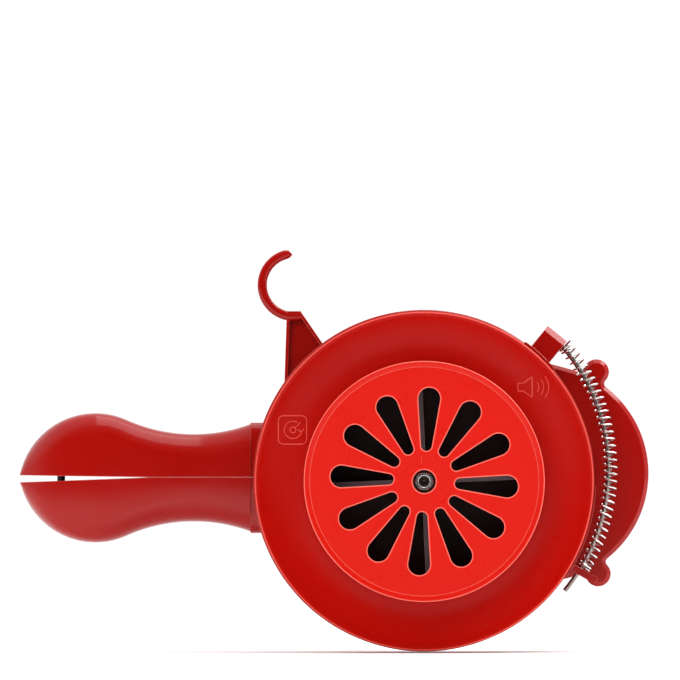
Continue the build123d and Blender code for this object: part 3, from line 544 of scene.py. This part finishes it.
def make_nut():
    """Chamfered hexagon nut over a washer; a ring without a radius follows the hexagon. The washer's dark
    colour is painted shade in the gap round the nut.
    """
    half = NUT_FLATS / 2
    rings = ((THREAD + 1.0, NUT_FRONT), (half - 0.1, NUT_FRONT), (None, NUT_FRONT + 0.75), (None, NUT_REAR),
             (THREAD, NUT_REAR), (THREAD, NUT_FRONT + 1.2), (THREAD + 0.3, NUT_FRONT + 1.0),
             (THREAD + 0.3, NUT_FRONT + 0.7))
    steps = 72
    vertices = []
    for radius, y in rings:
        for n in range(steps):
            angle = 360 * n / steps
            side = (angle + 90) % 60 - 30
            reach = radius or half / math.cos(math.radians(side))
            corner = (reach - half) * 0.9 if radius is None and y < NUT_REAR else 0.0
            x, z = polar(reach, angle + 30)
            vertices.append((x, y + corner, z))
    faces = [(face[0], *face[:0:-1]) for face in ring_faces(len(rings), steps, closed=True)]
    piece("hub_nut", (vertices, faces), POLISHED, "rotor", ["rotor_nut"], angle=25)
    washer = lathe_data([
        (THREAD, NUT_REAR), (WASHER_RADIUS - 0.15, NUT_REAR), (WASHER_RADIUS, NUT_REAR + 0.15),
        (WASHER_RADIUS, WASHER_REAR), (THREAD, WASHER_REAR),
    ], 64)
    piece("hub_washer", washer, DARK_STEEL_AND_SHADE, "rotor", ["rotor_washer"], angle=25)


# ---- grip ----

def bulb_half(x):
    """Half height of the grip's outline."""
    rise = NECK_HALF + BULB_DROP
    run = NECK_X - BULB_X
    neck_arc = (run * run + rise * rise - BULB_ARC ** 2) / (2 * (BULB_ARC - rise))
    touch = BULB_X + run * BULB_ARC / (BULB_ARC + neck_arc)
    if x < touch:
        return math.sqrt(max(0.0, BULB_ARC ** 2 - (x - BULB_X) ** 2)) - BULB_DROP
    return NECK_HALF + neck_arc - math.sqrt(neck_arc ** 2 - (x - NECK_X) ** 2)


def grip_depth(x):
    if x < BULB_X:
        return BULB_DEPTH * math.sqrt(1 - ((BULB_X - x) / BULB_REACH) ** 2)
    share = min(1.0, (x - BULB_X) / (NECK_X - BULB_X))
    return BULB_DEPTH + (NECK_DEPTH - BULB_DEPTH) * share * share * (3 - 2 * share)


def slit_height(x, upper):
    share = min(1.0, (x - GRIP_TIP_X) / (SLIT_END_X - GRIP_TIP_X))
    start = SLIT_TOP if upper else SLIT_BOTTOM
    return start + (SLIT_ROOT + (PARTING if upper else -PARTING) - start) * share


def grip_half_data(upper):
    """One shell: rounded sections from the slit over the outside, closed along the slit."""
    sign = 1 if upper else -1
    stations = [GRIP_TIP_X + (BULB_X - GRIP_TIP_X) * (1 - math.cos(math.pi / 2 * n / 14)) for n in range(14)]
    stations += [BULB_X + (GRIP_ROOT_X - BULB_X) * n / 26 for n in range(27)]
    vertices = []
    steps = 16
    for x in stations:
        high, deep = bulb_half(x), grip_depth(x)
        base = slit_height(x, upper) - GRIP_AXIS_Z
        high = max(high, abs(base) + 0.05)
        corner_z, corner_y = min(GRIP_ROUND, (high - sign * base) * 0.86), min(GRIP_ROUND, deep * 0.8)
        section = [(-deep, base)]
        for n in range(steps + 1):
            t = math.pi / 2 * n / steps
            section.append((-deep + corner_y * (1 - math.cos(t)),
                            sign * (high - corner_z + corner_z * math.sin(t))))
        section += [(-y, z) for y, z in reversed(section)]
        vertices += [(x, GRIP_MIDDLE_Y + y, GRIP_AXIS_Z + z) for y, z in section]
    count, rings = len(section), len(stations)
    faces = ring_faces(rings, count) + end_faces(rings, count)
    return vertices, [f if upper else f[::-1] for f in faces]


def root_data(upper):
    """Straight collar between the grip and the drum."""
    sign = 1 if upper else -1
    base = SLIT_ROOT + sign * PARTING
    top = GRIP_AXIS_Z + sign * ROOT_HALF
    low, high = GRIP_MIDDLE_Y - ROOT_DEPTH, GRIP_MIDDLE_Y + ROOT_DEPTH
    section = rounded([(low, base, 0), (high, base, 0), (high, top, ROOT_ROUND), (low, top, ROOT_ROUND)], 6)
    vertices = [(x, y, z) for x in (GRIP_ROOT_X, GRIP_END_X) for y, z in section]
    faces = ring_faces(2, len(section)) + end_faces(2, len(section))
    return vertices, [f if not upper else f[::-1] for f in faces]


def make_grip():
    for name, upper in (("grip_top", True), ("grip_bottom", False)):
        node = "grip_upper" if upper else "grip_lower"
        piece(name, grip_half_data(upper), SHELL_RED, "housing", [node], 40)
        piece(f"{name}_root", root_data(upper), SHELL_RED, "housing", [node], 40)


# ---- lever, rod and spring ----

def wound(turns):
    """Share of the spring's arc covered after this many turns; end coils lie closer."""
    length = math.radians(SPRING_START - SPRING_END) * COIL_ARC
    open_pitch = (length - 2 * END_COILS * END_PITCH) / (COILS - 2 * END_COILS)
    closed = min(turns, END_COILS) + max(0.0, turns - (COILS - END_COILS))
    return (closed * END_PITCH + (turns - closed) * open_pitch) / length


def make_spring():
    per_turn = 28
    path = []
    for n in range(COILS * per_turn + 1):
        turns = n / per_turn
        angle = SPRING_START + (SPRING_END - SPRING_START) * wound(turns)
        swing = 2 * math.pi * turns
        x, z = polar(COIL_ARC + COIL_RADIUS * math.cos(swing), angle, ARC)
        path.append((x, SPRING_DEPTH + COIL_RADIUS * math.sin(swing), z))
    obj = piece("spring_coils", tube_data(path, WIRE_RADIUS, 8), STEEL, None, ["return_spring"])
    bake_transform(obj)


def make_rod():
    path = [(x, SPRING_DEPTH, z) for x, z in arc(ROD_ARC, ROD_START, ROD_END, ARC, 1.5)]
    piece("rod", tube_data(path, ROD_RADIUS, 16), ROD_STEEL, "shutter", ["lever_rod"])


# ---- carrying hook ----

def make_hook():
    """Rounded hook on a web between two ribs."""
    stations = 30
    vertices = []
    half = (HOOK_OUTER - HOOK_INNER) / 2
    for n in range(stations + 1):
        angle = HOOK_ROOT + (HOOK_TIP - HOOK_ROOT) * n / stations
        along = min(1.0, (angle - HOOK_TIP) / HOOK_TAPER)
        thick = half * math.sqrt(1 - (1 - along) ** 2) + 0.02
        middle = HOOK_OUTER - half - (half - thick) * 0.2
        low, high = middle - thick, middle + thick
        corners = [(HOOK_FRONT, low), (HOOK_REAR, low), (HOOK_REAR, high), (HOOK_FRONT, high)]
        for y, r in rounded([(*corner, HOOK_ROUND) for corner in corners]):
            x, z = polar(r, angle, HOOK)
            vertices.append((x, y, z))
    count = len(vertices) // (stations + 1)
    faces = ring_faces(stations + 1, count) + end_faces(stations + 1, count)
    piece("hook", (vertices, faces), SHELL_RED, "housing", ["hook_bracket"], 50)
    web = plate_data([BRACKET], WEB_FRONT, WEB_REAR)
    piece("hook_web", web, SHELL_RED, "housing", ["hook_bracket"])
    frame_loops = [BRACKET, inset(BRACKET, RIB_WALL)]
    ribs = merged(plate_data(frame_loops, HOOK_FRONT + RIB_STEP, WEB_FRONT),
                  plate_data(frame_loops, WEB_REAR, BRACKET_REAR))
    piece("hook_ribs", ribs, SHELL_RED, "housing", ["hook_bracket"])


# ---- screws and crank knob ----

def screw_data(place, face, radius, turn):
    """Pan head with a cross recess, standing on a face that looks towards the rear."""
    arm, half = radius * 0.55, radius * 0.13
    corners = [(half, half), (arm, half), (arm, -half)]
    cross = []
    for n in range(4):
        c, q = polar(1.0, turn - 90 * n)
        cross += [(place[0] + x * c - z * q, place[1] + x * q + z * c) for x, z in corners]
    top = plate_data([circle(radius * 0.86, place, 9), cross], face + radius * 0.28, face + radius * 0.55)
    seat = lathe_data([
        (0.02, face), (radius, face), (radius * 0.97, face + radius * 0.25),
        (radius * 0.85, face + radius * 0.45), (radius * 0.8, face + radius * 0.3),
        (0.02, face + radius * 0.3),
    ], 32, place)
    return merged(top, seat)


def make_screws():
    cover = [polar(52.4, a, CRANK) for a in (61, -60, 238)] + [polar(36.3, 140, IDLER)]
    plate = [polar(72.6, a) for a in (98, 172, 205, 236, 268)]
    root = [(-58.0, 17.0), (-58.0, -14.0)]
    heads = [screw_data(place, COVER_REAR, 3.0, 20 * n) for n, place in enumerate(cover)]
    heads += [screw_data(place, PLATE_REAR, 2.4, 25 * n) for n, place in enumerate(plate)]
    heads += [screw_data(place, GRIP_MIDDLE_Y + ROOT_DEPTH, 2.4, 40 + 30 * n) for n, place in enumerate(root)]
    piece("screws", merged(*heads), STEEL, "housing", angle=30)


def make_knob():
    """Fluted barrel that turns on its bolt."""
    front, rear, waist = KNOB_FRONT, KNOB_REAR, KNOB_RADIUS - 1.8
    outline = [(KNOB_RADIUS - 4, front), (KNOB_RADIUS - 2.4, front + 0.7), (waist, front + 2.5)]
    outline += [(waist + 1.8 * math.sin(math.pi * n / 16), front + 2.5 + 55.5 * n / 16) for n in range(1, 16)]
    outline += [(KNOB_RADIUS - 1.4, rear - 4), (KNOB_RADIUS - 2.2, rear - 1.4), (KNOB_RADIUS - 4, rear),
                (KNOB_RECESS, rear), (KNOB_RECESS, rear - 6.4), (KNOB_BORE, rear - 6.4), (KNOB_BORE, front)]
    steps = FLUTES * 12
    vertices = []
    for n in range(steps):
        groove = max(0.0, math.cos(math.radians(360 * n / steps * FLUTES))) ** 3
        for r, y in outline:
            share = max(0.0, min(1.0, (y - front - 5) / 4, (rear - 8 - y) / 4))
            share = share if r > KNOB_RECESS + 1 else 0.0
            x, z = polar(r - FLUTE_DEPTH * groove * share, 360 * n / steps, KNOB)
            vertices.append((x, y, z))
    faces = ring_faces(steps, len(outline), closed=True)
    piece("knob", (vertices, faces), BLACK, "knob", ["crank_knob"], angle=40)


# ---- stage, light and camera ----

FLOOR_Z, FLOOR_RADIUS = -0.0773, 2.3        # metres
CAMERA_DISTANCE = 12.0
PIXEL = 0.00045             # metres per pixel of the photograph at the object
IMAGE_SIZE = 680
AXIS_PX = (424.1, 481.25)   # the rotor axis in the photograph


def make_floor():
    """Plain pale floor."""
    material, tree, shader = base_material("paper", (0.97, 0.97, 0.97), 0.9, specular=0.05)
    shader.inputs["Emission Color"].default_value = (1, 1, 1, 1)
    shader.inputs["Emission Strength"].default_value = 0.12
    tree.links.new(ramp(tree, noise(tree, 3, 2), (0.96, 0.96, 0.96), (0.98, 0.98, 0.98)),
                   shader.inputs["Base Color"])
    mesh = bpy.data.meshes.new("floor")
    outline = circle(FLOOR_RADIUS, step=6)
    mesh.from_pydata([(x, y, FLOOR_Z) for x, y in outline], [], [tuple(range(len(outline)))])
    mesh.materials.append(material)
    floor = bpy.data.objects.new("floor", mesh)
    bpy.context.scene.collection.objects.link(floor)


def add_light(name, place, size, power, mirrored=True):
    """Soft box that faces the object; one that isn't mirrored gives no highlight."""
    data = bpy.data.lights.new(name, "AREA")
    data.shape, data.energy = "RECTANGLE", power
    data.size, data.size_y = size
    light = bpy.data.objects.new(name, data)
    light.location = place
    light.rotation_euler = (Vector((-0.04, 0.03, 0)) - Vector(place)).to_track_quat("-Z", "Y").to_euler()
    light.visible_glossy = mirrored
    bpy.context.scene.collection.objects.link(light)
    return light


def make_world():
    """White surroundings that fall to grey in front of the object."""
    world = bpy.data.worlds.new("studio")
    world.use_nodes = True
    tree = world.node_tree
    place = tree.nodes.new("ShaderNodeTexCoord")
    split = tree.nodes.new("ShaderNodeSeparateXYZ")
    tree.links.new(place.outputs["Generated"], split.inputs["Vector"])
    shade = tree.nodes.new("ShaderNodeMapRange")
    shade.interpolation_type = "SMOOTHSTEP"
    for socket, value in (("From Min", -0.98), ("From Max", -0.1), ("To Min", 0.10), ("To Max", 1.0)):
        shade.inputs[socket].default_value = value
    tree.links.new(split.outputs["Y"], shade.inputs["Value"])
    background = tree.nodes["Background"]
    tree.links.new(shade.outputs["Result"], background.inputs["Color"])
    background.inputs["Strength"].default_value = 1.05
    bpy.context.scene.world = world
    bpy.context.scene.view_settings.view_transform = "Standard"


def make_lights():
    add_light("top", (0.45, 0.1, 1.0), (1.2, 1.1), 7.5).rotation_euler = (0, 0, 0)
    add_light("front", (-0.5, -1.7, 0.9), (1.2, 1.2), 17, mirrored=False)
    add_light("side", (0.85, 0.03, 1.05), (0.5, 0.5), 5)
    make_world()


def make_camera():
    data = bpy.data.cameras.new("camera")
    data.sensor_width = 36.0
    data.lens = 36.0 * CAMERA_DISTANCE / (IMAGE_SIZE * PIXEL)
    data.clip_end = 100.0
    camera = bpy.data.objects.new("camera", data)
    middle = IMAGE_SIZE / 2
    camera.location = ((middle - AXIS_PX[0]) * PIXEL, -CAMERA_DISTANCE, (AXIS_PX[1] - middle) * PIXEL)
    camera.rotation_euler = (math.pi / 2, 0, 0)
    bpy.context.scene.collection.objects.link(camera)
    bpy.context.scene.camera = camera


NODE_MATERIALS = {
    "cap_red": CAP_RED, "shell_red": SHELL_RED, "black_plastic": BLACK, "nylon": NYLON,
    "bright_steel": STEEL, "black_steel": DARK_STEEL_AND_SHADE, "bronze": BRONZE,
}


def dress_nodes():
    """Every CAD node gets its slot's material."""
    slots = {part["node"]: part["material_slot"] for part in frame["record"]["subparts"]}
    for name, obj in frame["nodes"].items():
        material = NODE_MATERIALS[slots[name]]
        # rotor vanes get the copy of the black plastic painted lighter as a painted highlight
        if name.startswith("rotor") and slots[name] == "black_plastic":
            material = VANE_LIT_GREY if "vane" in name else ROTOR_BLACK
        obj.data.materials.clear()
        obj.data.materials.append(material)


dress_nodes()
make_cap()
make_housing()
make_signs()
make_mould_mark()
make_shaft()
make_nut()
make_grip()
make_spring()
make_rod()
make_hook()
make_screws()
make_knob()
make_floor()
make_lights()
make_camera()
